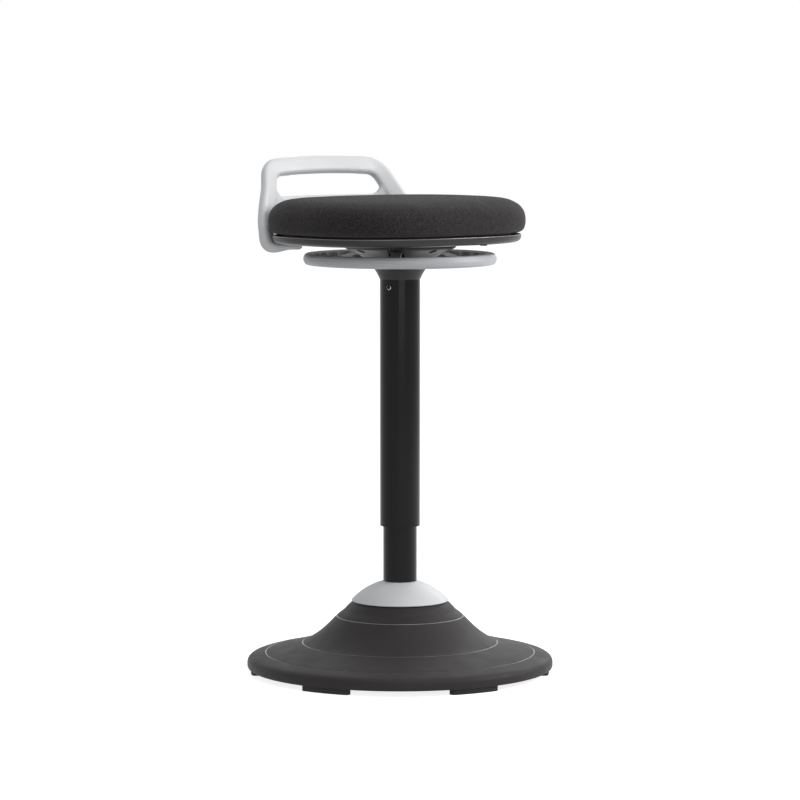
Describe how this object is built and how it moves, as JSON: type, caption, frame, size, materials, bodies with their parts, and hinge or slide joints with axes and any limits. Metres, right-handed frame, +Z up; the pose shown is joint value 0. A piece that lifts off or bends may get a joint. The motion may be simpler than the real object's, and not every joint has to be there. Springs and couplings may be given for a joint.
{
  "type": "perch stool",
  "caption": "Height-adjustable perch stool: padded seat with rear handle and release ring on a telescopic column that tilts in a round weighted foot.",
  "frame": {"origin": "centre of the round foot on the floor", "axes": "+Z up along the column, -Y towards the front of the seat, the handle on the +Y side"},
  "size_m": [0.385, 0.385, 0.6468],
  "materials": {
    "moulding_dark": "fine-textured charcoal moulding",
    "moulding_pale": "satin pale grey moulding",
    "moulding_grey": "satin mid grey moulding",
    "steel_black": "matte black powder coat",
    "steel_bright": "bright zinc or ground steel",
    "iron_cast": "black dipped casting",
    "rubber_black": "matte black rubber",
    "nylon_natural": "natural nylon",
    "seat_fabric": "charcoal woven upholstery",
    "board_ply": "raw moulded plywood"
  },
  "bodies": {
    "base": {"base_cover": "moulding_dark", "bottom_plate": "steel_black", "ballast_plate": "iron_cast", "foot_pads": "rubber_black", "cover_screws": "steel_bright", "pivot_socket": "steel_black", "pivot_retainer": "steel_black", "pivot_bolts": "steel_bright", "lower_rubber_ring": "rubber_black", "upper_rubber_ring": "rubber_black"},
    "liner": {"ball_liner": "nylon_natural"},
    "column": {"pivot_ball": "steel_bright", "column_foot": "steel_black", "inner_tube": "steel_black", "tilt_cap": "moulding_pale", "upper_guide_bush": "nylon_natural", "lower_bearing_race": "steel_bright", "bearing_balls": "steel_bright"},
    "spindle": {"upper_bearing_race": "steel_bright", "gas_rod": "steel_bright", "rod_clip": "steel_bright"},
    "seat": {"gas_cylinder": "steel_black", "outer_tube": "steel_black", "lower_guide_bush": "nylon_natural", "tube_screw": "steel_bright", "hub": "moulding_dark", "seat_plate": "steel_black", "hub_bolts": "steel_bright", "lever_pivot_pin": "steel_bright", "seat_pan": "moulding_dark", "pan_screws": "steel_black", "seat_board": "board_ply", "cushion": "seat_fabric", "handle": "moulding_pale", "handle_screws": "steel_bright"},
    "lever": {"release_ring": "moulding_grey"},
    "valve": {"release_pin": "steel_bright"}
  },
  "joints": [
    {"name": "tilt_fore_aft", "type": "hinge", "parent": "base", "child": "liner", "pos_m": [0, 0, 0.0208], "axis": [1, 0, 0], "range_deg": [-6, 6], "stiffness_Nm_per_rad": 150, "deforming": ["lower_rubber_ring", "upper_rubber_ring"]},
    {"name": "tilt_sideways", "type": "hinge", "parent": "liner", "child": "column", "pos_m": [0, 0, 0.0208], "axis": [0, 1, 0], "range_deg": [-6, 6], "stiffness_Nm_per_rad": 150, "deforming": ["lower_rubber_ring", "upper_rubber_ring"]},
    {"name": "swivel", "type": "hinge", "parent": "column", "child": "spindle", "pos_m": [0, 0, 0.05], "axis": [0, 0, 1], "continuous": true},
    {"name": "height", "type": "slide", "parent": "spindle", "child": "seat", "axis": [0, 0, 1], "range_m": [0, 0.23]},
    {"name": "ring_lift", "type": "hinge", "parent": "seat", "child": "lever", "pos_m": [0, -0.02, 0.5395], "axis": [-1, 0, 0], "range_deg": [0, 5], "stiffness_Nm_per_rad": 3, "springref_deg": -8.59},
    {"name": "pin_press", "type": "slide", "parent": "seat", "child": "valve", "axis": [0, 0, 1], "range_m": [-0.0018, 0], "stiffness_N_per_m": 1500, "springref_m": 0.001}
  ],
  "couplings": [
    {"joint": "pin_press", "follows": "ring_lift", "m_per_rad": -0.02}
  ]
}
